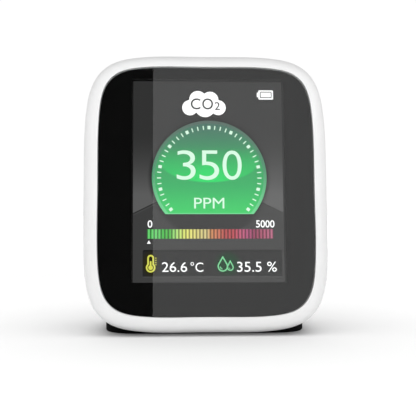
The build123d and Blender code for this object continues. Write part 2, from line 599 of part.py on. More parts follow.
# ---- button ----
def power_button():
    """Cap in the top of the shell, with a flange that keeps it in and a stem to the switch."""
    top = CASE_H / 2 + BUTTON_PROUD
    flange_top = CASE_H / 2 - WALL - FLANGE_PLAY
    cap = upwards(Pos(BUTTON_X, BUTTON_Y) * pill(BUTTON_W, BUTTON_D), flange_top - FLANGE_T, top)
    cap = fillet(cap.edges().group_by(Axis.Z)[-1], 0.5)
    flange = Pos(BUTTON_X, BUTTON_Y) * pill(BUTTON_W + 2 * FLANGE_EXTRA, BUTTON_D + 2 * FLANGE_EXTRA)
    cap += upwards(flange, flange_top - FLANGE_T, flange_top)
    stem = Pos(BUTTON_X, BUTTON_Y) * Circle(STEM_R)
    return cap + upwards(stem, PLUNGER_TOP + STEM_SLACK, flange_top - FLANGE_T)


def switch_base():
    """Side operated push switch at the board's top edge."""
    middle_z, height = (SWITCH_Z0 + SWITCH_Z1) / 2, SWITCH_Z1 - SWITCH_Z0
    base = on_board(BUTTON_X, middle_z, SWITCH_W, height, SWITCH_D)
    depth = PLUNGER_TOP - PLUNGER_LONG - BUTTON_TRAVEL - 0.1
    return base - upwards(Pos(BUTTON_X, BUTTON_Y) * Circle(PLUNGER_R + 0.08), depth, SWITCH_Z1 + 1)


def switch_plunger():
    """Plunger of the switch."""
    return upwards(Pos(BUTTON_X, BUTTON_Y) * Circle(PLUNGER_R), PLUNGER_TOP - PLUNGER_LONG, PLUNGER_TOP)


outer = outer_body()
inner = inner_space()

nodes = {
    "front_bezel": front_bezel(),
    "rear_shell": rear_shell(),
    "screw_plugs": screw_plugs(),
    "base_pad": base_pad(),
    "dust_filter": dust_filter(),
    "cover_lens": cover_lens(),
    "mask_film": mask_film(),
    "lens_tape": lens_tape(),
    "lcd_gasket": lcd_gasket(),
    "lcd_glass": lcd_glass(),
    "lcd_driver_chip": lcd_driver_chip(),
    "light_guide": light_guide(),
    "lcd_frame": lcd_frame(),
    "display_flex": display_flex(),
    "display_carrier": display_carrier(),
    "main_board": main_board(),
    "case_screws": case_screws(),
    "board_screws": board_screws(),
    "flex_connector": flex_connector(),
    "mcu_chip": on_board(*PROCESSOR),
    "charger_chip": on_board(*CHARGER),
    "power_inductor": power_inductor(),
    "capacitors": capacitors(),
    "crystal": on_board(*CRYSTAL),
    "usb_c_shell": usb_c_shell(),
    "usb_c_tongue": usb_c_tongue(),
    "buzzer": buzzer(),
    "battery_connector": battery_connector(),
    "battery_plug": battery_plug(),
    "battery_lead_red": battery_lead(-1),
    "battery_lead_black": battery_lead(1),
    "battery_cell": battery_cell(),
    "battery_tape": battery_tape(),
    "co2_board": co2_board(),
    "co2_cell": co2_cell(),
    "co2_membranes": co2_membranes(),
    "co2_pins": co2_pins(),
    "climate_board": climate_board(),
    "climate_chip": climate_chip(),
    "climate_pins": climate_pins(),
    "power_button": power_button(),
    "switch_base": switch_base(),
    "switch_plunger": switch_plunger(),
}

# Leans every piece back and puts the origin under the middle of the case, at ground level.
case_box = (Rot(-LEAN, 0, 0) * outer).bounding_box()
place = Pos(0, -(case_box.min.Y + case_box.max.Y) / 2, -GROUND) * Rot(-LEAN, 0, 0)

os.makedirs("parts", exist_ok=True)
for name, shape in nodes.items():
    solids = shape if isinstance(shape, list) else [shape]
    moved = [solid for piece in solids for solid in (place * piece).solids()]
    export_step(Compound(children=moved) if len(moved) > 1 else moved[0], f"parts/{name}.step")

print(len(nodes), "nodes, case middle lifted by", round(-GROUND, 4), "mm")
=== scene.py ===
import bpy
import json
from math import atan2, cos, pi, radians, sin, sqrt
from mathutils import Matrix, Vector

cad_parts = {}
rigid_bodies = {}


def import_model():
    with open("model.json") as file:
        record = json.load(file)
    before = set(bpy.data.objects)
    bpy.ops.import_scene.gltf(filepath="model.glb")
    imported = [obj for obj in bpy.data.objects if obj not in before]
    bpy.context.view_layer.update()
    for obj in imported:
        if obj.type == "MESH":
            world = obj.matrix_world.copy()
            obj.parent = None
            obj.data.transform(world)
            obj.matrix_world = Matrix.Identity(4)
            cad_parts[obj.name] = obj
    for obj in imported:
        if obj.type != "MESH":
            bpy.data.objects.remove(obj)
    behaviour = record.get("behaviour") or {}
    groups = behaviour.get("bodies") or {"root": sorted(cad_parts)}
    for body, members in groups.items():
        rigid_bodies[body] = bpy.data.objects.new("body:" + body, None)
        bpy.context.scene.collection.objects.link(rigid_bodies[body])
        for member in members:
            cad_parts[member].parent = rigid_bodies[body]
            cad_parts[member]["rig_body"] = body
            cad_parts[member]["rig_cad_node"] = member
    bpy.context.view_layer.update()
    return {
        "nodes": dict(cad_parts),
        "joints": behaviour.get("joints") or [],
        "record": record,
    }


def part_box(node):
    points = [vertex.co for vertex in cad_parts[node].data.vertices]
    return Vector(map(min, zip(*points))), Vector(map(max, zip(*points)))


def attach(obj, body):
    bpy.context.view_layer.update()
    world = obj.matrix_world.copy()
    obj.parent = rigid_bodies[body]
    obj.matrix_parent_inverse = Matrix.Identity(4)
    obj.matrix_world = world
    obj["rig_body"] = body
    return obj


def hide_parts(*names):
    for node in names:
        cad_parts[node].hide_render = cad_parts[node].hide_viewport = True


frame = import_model()
nodes = frame["nodes"]
scene = bpy.context.scene
mm = 0.001               # sizes in the dictionaries are millimetres
black = (0.0, 0.0, 0.0, 1.0)
white = (1.0, 1.0, 1.0, 1.0)
print("frame loaded with", len(nodes), "nodes")

glass = {                                # middle and back are depths from the face plane
    "middle": 0.65, "back": 1.2, "reach": 0.01, "gap": 0.03, "weld": 0.001, "flat": 0.2, "crease": 25,
}
picture = {
    "width": 43.2, "height": 57.6, "litWidth": 43.5, "litHeight": 58.4, "right": 0.75, "up": 3.1,
    "depth": 2.86, "layer": 0.05, "skin": 0.02, "dot": 0.18, "dotGap": 0.2, "dotDim": 0.07,
}
pressAxis = Vector(frame["joints"][0]["axis"])          # the button is pressed straight down the case
faceUp = -pressAxis
lean = atan2(faceUp.y, faceUp.z)
faceIn = Vector((0, cos(lean), -sin(lean)))
glassLow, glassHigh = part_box("cover_lens")
faceMiddle = (glassLow + glassHigh) / 2 - faceIn * glass["middle"] * mm

# the picture's own frame: x to the right, y up the face, z towards the viewer
pictureMiddle = faceMiddle + Vector((picture["right"], 0, 0)) * mm + faceUp * picture["up"] * mm
litWide = mm * picture["litWidth"] / picture["width"]
litTall = mm * picture["litHeight"] / picture["height"]
pictureScale = (litWide, litTall, mm)
pictureTurn = Matrix.Rotation(pi / 2 - lean, 4, "X")
pictureFrame = Matrix.Translation(pictureMiddle) @ pictureTurn @ Matrix.Diagonal((*pictureScale, 1))


class Wire:                              # shader socket that takes Python's arithmetic
    def __init__(self, finish, socket):
        self.finish = finish
        self.socket = socket

    def maths(self, operation, other=0.0, swapped=False):
        first, second = (other, self) if swapped else (self, other)
        return self.finish.add("Math", {"operation": operation}, {0: first, 1: second})

    def __add__(self, other):
        return self.maths("ADD", other)

    def __radd__(self, other):
        return self.maths("ADD", other)

    def __sub__(self, other):
        return self.maths("SUBTRACT", other)

    def __rsub__(self, other):
        return self.maths("SUBTRACT", other, swapped=True)

    def __mul__(self, other):
        return self.maths("MULTIPLY", other)

    def __rmul__(self, other):
        return self.maths("MULTIPLY", other)

    def __truediv__(self, other):
        return self.maths("DIVIDE", other)

    def __pow__(self, other):
        return self.maths("POWER", other)

    def __lt__(self, other):
        return self.maths("LESS_THAN", other)

    def __abs__(self):
        return self.maths("ABSOLUTE")

    def ramp(self, low, high, start=0.0, end=1.0, style="SMOOTHSTEP"):
        settings = {"interpolation_type": style}
        spans = {"From Min": low, "From Max": high, "To Min": start, "To Max": end}
        return self.finish.add("MapRange", settings, {"Value": self, **spans})

    def slide(self, low, high, start=0.0, end=1.0):     # the same, straight instead of smooth
        return self.ramp(low, high, start, end, "LINEAR")


class Finish:                            # material under construction
    def __init__(self, name):
        self.material = bpy.data.materials.new(name)
        self.material.use_nodes = True
        self.tree = self.material.node_tree
        self.tree.nodes.clear()

    def add(self, kind, settings={}, inputs={}, output=0):
        made = self.tree.nodes.new("ShaderNode" + kind)
        for setting, value in settings.items():
            if setting == "stops":
                self.fillRamp(made.color_ramp, value)
            else:
                setattr(made, setting, value)
        for socket, value in inputs.items():
            if isinstance(value, Wire):
                self.tree.links.new(value.socket, made.inputs[socket])
            else:
                made.inputs[socket].default_value = value
        return Wire(self, made.outputs[output]) if made.outputs else None

    def fillRamp(self, ramp, stops):
        while len(ramp.elements) < len(stops):
            ramp.elements.new(1.0)
        for element, (place, colour) in zip(ramp.elements, stops):
            element.position = place
            element.color = colour

    def blend(self, factor, first, second):
        return self.add("Mix", {"data_type": "RGBA"}, {0: factor, 6: first, 7: second}, output=2)

    def spot(self):                      # place on the object, in millimetres
        where = self.add("TexCoord", output=3)
        return self.add("Mapping", {}, {"Vector": where, "Scale": (1.0 / mm,) * 3})

    def noise(self, size, detail=2.0, where=None):      # size of the speckle in millimetres
        inputs = {"Vector": where or self.spot(), "Scale": 1.0 / size, "Detail": detail}
        return self.add("TexNoise", {}, inputs)

    def bump(self, height, depth):       # depth in millimetres
        return self.add("Bump", {}, {"Height": height, "Distance": depth * mm, "Strength": 1.0})

    def close(self, shader):
        self.add("OutputMaterial", {}, {"Surface": shader})
        return self.material

    def solid(self, sockets):
        return self.close(self.add("BsdfPrincipled", {}, sockets))


def linear(level):
    share = level / 255
    return share / 12.92 if share < 0.04045 else ((share + 0.055) / 1.055) ** 2.4


def paint(red, green, blue):             # an 8 bit screen colour as Blender's linear one
    return (linear(red), linear(green), linear(blue), 1.0)


def grey(level):
    return paint(level, level, level)


def strength(value):                     # grey given as a linear brightness
    return (value, value, value, 1.0)


def times(colour, factor):
    return tuple(channel * factor for channel in colour[:3]) + (1.0,)


plainPlastic = {
    "mottle": 9.0, "grain": 0.22, "depth": 0.004, "shift": 0.97, "index": 1.46, "sheen": 0.0, "shine": 0.5,
    "cloudRough": 0.08, "grainRough": 0.06,
}


def moulded(name, look):
    look = {**plainPlastic, **look}
    finish = Finish(name)
    cloud = finish.noise(look["mottle"], 3.0)
    grain = finish.noise(look["grain"], 4.0)
    tone = finish.blend(cloud.ramp(0.3, 0.7), look["colour"], times(look["colour"], look["shift"]))
    rough = look["rough"] + (cloud - 0.5) * look["cloudRough"] + (grain - 0.5) * look["grainRough"]
    sockets = {"Base Color": tone, "Roughness": rough, "Normal": finish.bump(grain, look["depth"])}
    sockets["IOR"] = look["index"]
    sockets["Sheen Weight"] = look["sheen"]
    sockets["Specular IOR Level"] = look["shine"]
    return finish.solid(sockets)


plainMetal = {"brush": (1, 1, 1), "grain": 0.3, "depth": 0.006, "stain": 3.0, "dull": 0.82, "streak": 0.18}


def metal(name, look):
    look = {**plainMetal, **look}
    finish = Finish(name)
    where = finish.add("Mapping", {}, {"Vector": finish.spot(), "Scale": look["brush"]})
    streak = finish.noise(look["grain"], 3.0, where)
    tarnish = finish.noise(look["stain"])
    tone = finish.blend(tarnish.ramp(0.35, 0.75), look["colour"], times(look["colour"], look["dull"]))
    rough = look["rough"] + (streak - 0.5) * look["streak"]
    bump = finish.bump(streak, look["depth"])
    return finish.solid({"Base Color": tone, "Metallic": 1.0, "Roughness": rough, "Normal": bump})


plainCloth = {"valley": 0.45, "fuzz": 0.4, "relief": 0.3, "rough": 0.85, "fuzzRough": 0.1}


def woven(name, look):
    look = {**plainCloth, **look}
    finish = Finish(name)
    where = finish.add("SeparateXYZ", {}, {0: finish.spot()})
    across = Wire(finish, where.socket)
    rise = Wire(finish, where.socket.node.outputs[2])
    warp = (across * (2 * pi / look["thread"])).maths("SINE")
    weft = (rise * (2 * pi / look["thread"])).maths("SINE")
    weave = warp * weft * 0.5 + 0.5
    fuzz = finish.noise(look["thread"] * look["fuzz"], 3.0)
    tone = finish.blend(weave, times(look["colour"], look["valley"]), look["colour"])
    bump = finish.bump(weave + fuzz * look["fuzz"], look["thread"] * look["relief"])
    rough = look["rough"] + fuzz * look["fuzzRough"]
    return finish.solid({"Base Color": tone, "Roughness": rough, "Normal": bump})


boardLook = {
    "tracks": {"Scale": 1.0, "Mortar Size": 0.12, "Brick Width": 3.1, "Row Height": 1.3},
    "rows": {"offset": 0.37, "squash": 1.6}, "viaScale": 0.55, "via": 0.14, "raised": 1.9,
    "copper": paint(214, 178, 96), "rough": 0.32, "stain": 0.5, "stainRough": 0.1, "copperRough": 0.08,
    "viaHeight": 0.5, "depth": 0.03, "copperMetal": 0.9,
}


def board(name, look):
    look = {**boardLook, **look}
    finish = Finish(name)
    turned = finish.add("Mapping", {}, {"Vector": finish.spot(), "Rotation": (pi / 2, 0, 0)})
    traces = finish.add("TexBrick", look["rows"], {**look["tracks"], "Vector": turned}, output=1)
    vias = finish.add("TexVoronoi", {}, {"Vector": turned, "Scale": look["viaScale"]})
    copper = vias < look["via"]
    mask = finish.blend(traces, look["colour"], times(look["colour"], look["raised"]))
    tone = finish.blend(copper, mask, look["copper"])
    rough = look["rough"] + finish.noise(look["stain"]) * look["stainRough"] - copper * look["copperRough"]
    bump = finish.bump(traces + copper * look["viaHeight"], look["depth"])
    sockets = {"Base Color": tone, "Metallic": copper * look["copperMetal"], "Roughness": rough}
    return finish.solid({**sockets, "Normal": bump})


plainPane = {"stain": 14.0, "polish": 0.004}


def clearPane(name, look):                # see-through plate that mirrors what a real one does
    look = {**plainPane, **look}
    finish = Finish(name)
    smear = finish.noise(look["stain"], 3.0)
    rough = look["polish"] + smear.ramp(0.45, 0.9) * look["smear"]
    facing = finish.add("LayerWeight", {}, {"Blend": 0.5}, output=1)
    straight = ((look["index"] - 1) / (look["index"] + 1)) ** 2
    mirror = straight + (1 - straight) * facing ** 5.0      # alike from both sides of the pane
    gloss = finish.add("BsdfAnisotropic", {}, {"Color": white, "Roughness": rough})
    through = finish.add("BsdfTransparent", {}, {"Color": look["tint"]})
    return finish.close(finish.add("MixShader", {}, {0: mirror, 1: through, 2: gloss}))


plainFoil = {
    "crease": 0.22, "wrinkle": 2.4, "dull": 0.8, "creaseHeight": 0.4, "depth": 0.12, "metal": 0.9,
    "wrinkleRough": 0.12,
}


def foilPouch(name, look):
    look = {**plainFoil, **look}
    finish = Finish(name)
    edges = {"feature": "DISTANCE_TO_EDGE"}
    creases = finish.add("TexVoronoi", edges, {"Vector": finish.spot(), "Scale": look["crease"]})
    wrinkle = finish.noise(look["wrinkle"], 4.0)
    tone = finish.blend(wrinkle.ramp(0.3, 0.7), look["colour"], times(look["colour"], look["dull"]))
    bump = finish.bump(creases.ramp(0.0, 0.12) * look["creaseHeight"] + wrinkle, look["depth"])
    rough = look["rough"] + wrinkle * look["wrinkleRough"]
    return finish.solid({"Base Color": tone, "Metallic": look["metal"], "Roughness": rough, "Normal": bump})


shellLook = {"colour": strength(0.82), "rough": 0.42, "grain": 0.16, "depth": 0.0035, "shift": 0.985}
# near black base pad: its tone is the rubber pad's own colour and also painted shade for the dark
# contact-shadow band under the case's front edge
padAndUnderShadeLook = {"colour": strength(0.0035), "rough": 0.85, "grain": 0.35, "depth": 0.03, "shine": 0.08}
filmLook = {"colour": strength(0.0016), "rough": 0.5, "grain": 2.0, "depth": 0.0005, "shine": 0.02}
ceramicLook = {"colour": paint(168, 138, 104), "rough": 0.45, "mottle": 0.5, "shift": 0.7}
finishes = {
    "white_shell": (moulded, shellLook),
    "white_plug": (moulded, {"colour": strength(0.76), "rough": 0.62, "grain": 0.3, "depth": 0.008}),
    # base pad, near black as painted shade under the front edge as well as rubber
    "foot_rubber": (moulded, padAndUnderShadeLook),
    "filter_cloth": (woven, {"colour": grey(96), "thread": 0.55}),
    "lens_glass": (clearPane, {"index": 1.5, "smear": 0.006, "tint": (0.985, 0.99, 0.988, 1)}),
    "black_film": (moulded, filmLook),
    "tape_foam": (moulded, {"colour": grey(38), "rough": 0.85, "grain": 0.3, "depth": 0.03}),
    "gasket_foam": (moulded, {"colour": grey(30), "rough": 0.95, "grain": 0.25, "depth": 0.06, "sheen": 0.3}),
    "display_glass": (moulded, {"colour": grey(14), "rough": 0.18, "grain": 0.2, "depth": 0.0005}),
    "silicon": (moulded, {"colour": grey(40), "rough": 0.2, "grain": 0.1, "depth": 0.001, "index": 2.2}),
    "light_guide": (clearPane, {"index": 1.49, "smear": 0.2, "tint": (0.9, 0.94, 0.96, 1)}),
    "pressed_steel": (metal, {"colour": grey(196), "rough": 0.32, "brush": (1, 1, 0.06)}),
    "flex_film": (moulded, {"colour": paint(196, 118, 38), "rough": 0.35, "mottle": 1.6, "shift": 0.6}),
    "black_plastic": (moulded, {"colour": grey(34), "rough": 0.5, "grain": 0.25, "depth": 0.01}),
    "circuit_board": (board, {"colour": paint(12, 74, 40)}),
    "screw_steel": (metal, {"colour": grey(176), "rough": 0.3, "grain": 0.15}),
    "connector_nylon": (moulded, {"colour": grey(214), "rough": 0.55, "grain": 0.2, "depth": 0.006}),
    "chip_epoxy": (moulded, {"colour": grey(36), "rough": 0.6, "grain": 0.08, "depth": 0.01}),
    "ferrite": (moulded, {"colour": grey(62), "rough": 0.75, "grain": 0.12, "depth": 0.03}),
    "capacitor_ceramic": (moulded, ceramicLook),
    "can_metal": (metal, {"colour": grey(200), "rough": 0.26, "grain": 0.4}),
    "socket_steel": (metal, {"colour": grey(184), "rough": 0.28, "brush": (0.08, 1, 1)}),
    "red_insulation": (moulded, {"colour": paint(176, 26, 22), "rough": 0.45, "grain": 0.3}),
    "black_insulation": (moulded, {"colour": grey(30), "rough": 0.45, "grain": 0.3}),
    "pouch_foil": (foilPouch, {"colour": grey(188), "rough": 0.34}),
    "cell_gold": (metal, {"colour": paint(226, 182, 92), "rough": 0.3, "grain": 0.6}),
    "membrane": (woven, {"colour": grey(232), "thread": 0.3}),
    "pin_brass": (metal, {"colour": paint(220, 184, 104), "rough": 0.25, "grain": 0.2}),
}
materials = {slot: make(slot, look) for slot, (make, look) in finishes.items()}
for subpart in frame["record"]["subparts"]:
    piece = nodes[subpart["node"]]
    for place in piece.material_slots:
        place.material = materials[subpart["material_slot"]]
print("finished", len(materials), "materials")


def picturePlace(finish):                 # millimetres right of and above the picture's middle
    where = finish.add("TexCoord", output=3)
    frameOf = {"Location": pictureMiddle, "Rotation": (pi / 2 - lean, 0, 0), "Scale": pictureScale}
    spot = finish.add("Mapping", {"vector_type": "TEXTURE"}, {"Vector": where, **frameOf})
    parts = finish.add("SeparateXYZ", {}, {0: spot})
    return parts, Wire(finish, parts.socket.node.outputs[1])


def dotGrid(finish, u, v):              # the panel's dots, which only a close look shows
    columns = (u / picture["dot"]).maths("FRACT").ramp(0.0, picture["dotGap"])
    rows = (v / picture["dot"]).maths("FRACT").ramp(0.0, picture["dotGap"])
    return 1 - picture["dotDim"] + columns * rows * picture["dotDim"]


def glowing(finish, colour, share=1.0):
    sockets = {"Base Color": black, "Roughness": 0.6, "Specular IOR Level": 0.0}
    return finish.solid({**sockets, "Emission Color": colour, "Emission Strength": share})


def dotted(finish, u, v, tone):           # a coloured glow broken into the panel's dots
    return glowing(finish, finish.blend(dotGrid(finish, u, v), black, tone))


def bowlReach(u, v, bowl):                # squared distance from an oval's middle, 1 at its edge
    return ((u - bowl["right"]) / bowl["across"]) ** 2.0 + ((v - bowl["up"]) / bowl["tall"]) ** 2.0


def evenGlow(name, colour, edge=0.94, share=1.0):      # one tint, a shade duller towards the picture's top
    finish = Finish(name)
    u, v = picturePlace(finish)
    half = picture["height"] / 2
    level = dotGrid(finish, u, v) * v.slide(-half, half, 1.0, edge)
    return glowing(finish, finish.blend(level, black, colour), share)


gauge = {
    "right": 0.2, "up": 0.95, "radius": 16.4, "flat": -10.55, "rim": 0.85, "foot": 0.3,
    "top": 17.0, "low": -9.5, "corners": 128, "clear": 0.2,
    "bowl": {"right": 0.2, "up": 5.5, "across": 14.0, "tall": 6.0}, "bowlTop": 9.5,
    "centre": {"right": 0.0, "up": 1.0, "across": 7.0, "tall": 5.0},
    "shine": 0.75, "shineTone": (0.016, 0.72, 0.14, 1), "core": 0.45, "coreTone": (0.012, 0.92, 0.17, 1),
}
gaugeStops = [
    (0.0, (0.062, 0.155, 0.125, 1)), (0.18, (0.05, 0.235, 0.125, 1)), (0.42, (0.035, 0.36, 0.12, 1)),
    (0.7, (0.03, 0.46, 0.13, 1)), (1.0, (0.045, 0.68, 0.15, 1)),
]
rimStops = [(0.0, (0.09, 0.145, 0.12, 1)), (0.5, (0.07, 0.30, 0.155, 1)), (1.0, (0.17, 0.74, 0.31, 1))]
backdrop = {
    "inset": 0.2, "right": -0.12, "sky": 0.0343, "glow": 0.084, "glowTop": 14.0, "glowLow": -4.0, "fall": 1.8,
    "land": 0.053, "peak": -6.55, "slope": 0.49, "shoulder": 15.6, "line": 0.16, "lineDim": 0.62,
    "edge": 0.42, "edgeLine": 0.13, "edgeGlow": 0.022, "haloOut": 1.5, "haloIn": 0.1, "haloDim": 0.5,
}
infoPanel = {
    "right": 0.95, "up": -23.55, "width": 39.4, "height": 7.7, "corner": 0.5, "level": 0.0224,
    "shade": 0.9, "shadeDim": 0.5, "line": 0.28, "lineGlow": 0.05,
    "cool": {"right": 5.2, "up": -23.6, "across": 4.2, "tall": 4.0}, "coolTone": (0.0, 0.045, 0.013, 1),
    "warm": {"right": -16.4, "up": -23.6, "across": 3.2, "tall": 4.2}, "warmTone": (0.028, 0.024, 0.004, 1),
    "warmShare": 0.8,
}
scaleBar = {
    "left": -17.5, "right": 18.25, "low": -16.55, "high": -13.9, "count": 36, "share": 0.52,
    "corner": 0.06, "backFade": 0.34,
}
scaleStops = [
    (0.00, (110, 222, 120)), (0.08, (116, 228, 122)), (0.12, (80, 202, 84)), (0.18, (88, 196, 76)),
    (0.22, (176, 240, 132)), (0.29, (232, 240, 118)), (0.34, (250, 244, 130)), (0.42, (226, 212, 134)),
    (0.475, (232, 214, 148)), (0.50, (214, 146, 92)), (0.56, (222, 128, 96)), (0.61, (192, 82, 80)),
    (0.69, (200, 76, 88)), (0.74, (206, 94, 128)), (0.80, (186, 88, 130)), (0.85, (156, 66, 98)),
    (0.89, (170, 82, 108)), (0.93, (190, 96, 126)), (1.0, (192, 112, 140)),
]


def groundGlow():                         # dim sky over a dark hill with a thin ridge line
    finish = Finish("pictureGround")
    u, v = picturePlace(finish)
    fade = v.slide(backdrop["glowTop"], backdrop["glowLow"])
    sky = backdrop["sky"] + backdrop["glow"] * fade ** backdrop["fall"]
    ridge = v - backdrop["peak"] + (abs(u) - backdrop["shoulder"]) * backdrop["slope"]
    land = ridge < 0.0
    dark = abs(ridge) < backdrop["line"]
    light = abs(ridge + backdrop["edge"]) < backdrop["edgeLine"]
    plain = sky * (1 - land) + land * backdrop["land"]
    plain = plain * (1 - dark * backdrop["lineDim"]) + light * backdrop["edgeGlow"]
    away = ((u - gauge["right"]) ** 2.0 + (v - gauge["up"]) ** 2.0) ** 0.5
    halo = away.ramp(gauge["radius"] + backdrop["haloOut"], gauge["radius"] + backdrop["haloIn"])
    level = plain * (1 - halo * backdrop["haloDim"]) * dotGrid(finish, u, v)
    return glowing(finish, finish.blend(level, black, white))


def gaugeGlow():
    finish = Finish("gaugeFace")
    u, v = picturePlace(finish)
    tone = finish.add("ValToRGB", {"stops": gaugeStops}, {0: v.slide(gauge["top"], gauge["low"])})
    inside = (bowlReach(u, v, gauge["bowl"]) ** 0.5).ramp(1.02, 0.98)
    shine = inside * v.slide(gauge["bowlTop"], 0.0)
    centre = inside * bowlReach(u, v, gauge["centre"]).ramp(1.0, 0.0)
    bright = finish.blend(shine * gauge["shine"], tone, gauge["shineTone"])
    return dotted(finish, u, v, finish.blend(centre * gauge["core"], bright, gauge["coreTone"]))


def rimGlow():
    finish = Finish("gaugeRim")
    u, v = picturePlace(finish)
    tone = finish.add("ValToRGB", {"stops": rimStops}, {0: v.slide(gauge["top"], gauge["low"])})
    return dotted(finish, u, v, tone)


def panelGlow():                          # dark strip with soft colour round its two signs
    finish = Finish("infoPanel")
    u, v = picturePlace(finish)
    rise = v - infoPanel["up"]
    half = infoPanel["height"] / 2
    top = rise.ramp(half - infoPanel["shade"], half, 0.0, infoPanel["shadeDim"])
    low = rise < infoPanel["line"] - half
    cool = bowlReach(u, v, infoPanel["cool"]).ramp(1.0, 0.1)
    warm = bowlReach(u, v, infoPanel["warm"]).ramp(1.0, 0.1)
    level = infoPanel["level"] * (1 - top) + low * infoPanel["lineGlow"]
    tone = finish.blend(level, black, white)
    tone = finish.blend(cool, tone, infoPanel["coolTone"])
    tone = finish.blend(warm * infoPanel["warmShare"], tone, infoPanel["warmTone"])
    return dotted(finish, u, v, tone)


def scaleGlow(name, fade):
    finish = Finish(name)
    u, v = picturePlace(finish)
    stops = [(place, paint(*colour)) for place, colour in scaleStops]
    tone = finish.add("ValToRGB", {"stops": stops}, {0: u.slide(scaleBar["left"], scaleBar["right"])})
    return glowing(finish, finish.blend(dotGrid(finish, u, v) * fade, black, tone))


lights = {
    "ground": groundGlow(),
    "gauge": gaugeGlow(),
    "rim": rimGlow(),
    "panel": panelGlow(),
    "bar": scaleGlow("scaleBar", 1.0),
    "barBack": scaleGlow("scaleBarBack", scaleBar["backFade"]),
    "white": evenGlow("pictureWhite", white, 0.97, 1.25),
    "mint": evenGlow("readingMint", (0.72, 1.0, 0.8, 1), 1.0, 1.06),
    "ink": evenGlow("pictureInk", strength(0.012)),
    "shade": evenGlow("pictureShade", strength(0.004)),
    "yellow": evenGlow("pictureYellow", (0.80, 0.80, 0.12, 1)),
    "green": evenGlow("pictureGreen", (0.22, 0.72, 0.34, 1)),
}
print("lit", len(lights), "tints of the picture")


def only(piece):
    bpy.ops.object.select_all(action="DESELECT")
    piece.select_set(True)
    bpy.context.view_layer.objects.active = piece


def named(name, tint):
    piece = bpy.context.object
    piece.name = name
    piece.data.name = name
    only(piece)
    if tint:
        piece.data.materials.clear()
        piece.data.materials.append(tint)
    return piece


def editWhole(piece, *steps):             # mesh operators run on the whole of a piece
    only(piece)
    bpy.ops.object.mode_set(mode="EDIT")
    bpy.ops.mesh.select_all(action="SELECT")
    for operator, settings in steps:
        operator(**settings)
    bpy.ops.object.mode_set(mode="OBJECT")
    return piece


def join(name, pieces):
    bpy.ops.object.select_all(action="DESELECT")
    for piece in pieces:
        piece.select_set(True)
    bpy.context.view_layer.objects.active = pieces[0]
    bpy.ops.object.join()
    return named(name, None)


def blob(discs, middle, corners):         # outline round discs, seen from a middle inside them
    points = []
    for step in range(corners):
        turn = 2 * pi * step / corners
        along = Vector((cos(turn), sin(turn)))
        reach = 0.0
        for x, y, r in discs:
            offset = Vector((x, y)) - Vector(middle)
            near = offset.dot(along)
            gap = offset.length_squared - near * near
            if gap < r * r:
                reach = max(reach, near + sqrt(r * r - gap))
        points.append(Vector(middle) + along * reach)
    return points


def cut(name, tint, points):              # flat shape with this outline
    bpy.ops.object.select_all(action="DESELECT")
    bpy.ops.mesh.primitive_circle_add(vertices=len(points), radius=1.0, fill_type="NGON")
    piece = named(name, tint)
    for vertex, point in zip(piece.data.vertices, points):
        vertex.co = (point[0], point[1], 0.0)
    return piece


def card(name, tint, right, up, width, height, corner=0.0, segments=4):      # flat rectangle
    bpy.ops.object.select_all(action="DESELECT")
    bpy.ops.mesh.primitive_plane_add(size=1.0)
    piece = named(name, tint)
    for vertex in piece.data.vertices:
        vertex.co = (right + vertex.co.x * width, up + vertex.co.y * height, 0.0)
    if corner:
        rounding = {"offset": corner, "segments": segments, "affect": "VERTICES"}
        editWhole(piece, (bpy.ops.mesh.bevel, rounding))
    return piece


def outlineOf(piece, width):              # keeps a band of this width along the edge
    inset = {"thickness": width, "depth": 0.0}
    return editWhole(piece, (bpy.ops.mesh.inset, inset), (bpy.ops.mesh.delete, {"type": "FACE"}))


def turned(piece, angle, middle):
    centre = Matrix.Translation((middle[0], middle[1], 0.0))
    piece.data.transform(centre @ Matrix.Rotation(angle, 4, "Z") @ centre.inverted())
    return piece


lettering = {"curve": 6, "weld": 0.0001}


def words(name, tint, body, right, up, width, height, weight):      # text fitted to a box
    bpy.ops.object.select_all(action="DESELECT")
    bpy.ops.object.text_add()
    text = bpy.context.object
    text.data.body = body
    text.data.resolution_u = lettering["curve"]
    text.data.offset = weight
    bpy.ops.object.convert(target="MESH")
    weld = (bpy.ops.mesh.remove_doubles, {"threshold": lettering["weld"]})
    piece = editWhole(named(name, tint), weld)
    xs = [vertex.co.x for vertex in piece.data.vertices]
    ys = [vertex.co.y for vertex in piece.data.vertices]
    middle = ((min(xs) + max(xs)) / 2, (min(ys) + max(ys)) / 2)
    span = (max(xs) - min(xs), max(ys) - min(ys))
    for vertex in piece.data.vertices:
        x = (vertex.co.x - middle[0]) / span[0] * width
        y = (vertex.co.y - middle[1]) / span[1] * height
        vertex.co = (right + x, up + y, 0.0)
    return piece


def onScreen(piece, layer):               # stands a flat shape in the display, layer by layer
    only(piece)
    bpy.ops.object.modifier_add(type="SOLIDIFY")
    skin = piece.modifiers[-1]
    skin.thickness = picture["skin"]
    skin.offset = -1.0
    bpy.ops.object.modifier_apply(modifier=skin.name)
    editWhole(piece, (bpy.ops.mesh.normals_make_consistent, {"inside": False}))
    depth = picture["depth"] - layer * picture["layer"]
    piece.matrix_world = pictureFrame @ Matrix.Translation((0.0, 0.0, -depth))
    bpy.ops.object.transform_apply(location=True, rotation=True, scale=True)
    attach(piece, "housing")


def makeGround():
    width = picture["width"] - 2 * backdrop["inset"]
    onScreen(card("picture_ground", lights["ground"], backdrop["right"], 0, width, picture["height"]), 0)


def gaugePoints(radius, flat):            # disc cut off straight at the bottom
    right, up, corners = gauge["right"], gauge["up"], gauge["corners"]
    turns = [2 * pi * i / corners for i in range(corners)]
    points = [(right + radius * cos(turn), up + radius * sin(turn)) for turn in turns]
    half = sqrt(radius ** 2 - flat ** 2)
    kept = [(x, y) for x, y in points if y > up + flat + gauge["clear"]]
    start = max(range(len(kept)), key=lambda i: (kept[i][0] > right, -kept[i][1]))
    return kept[start:] + kept[:start] + [(right - half, up + flat), (right + half, up + flat)]


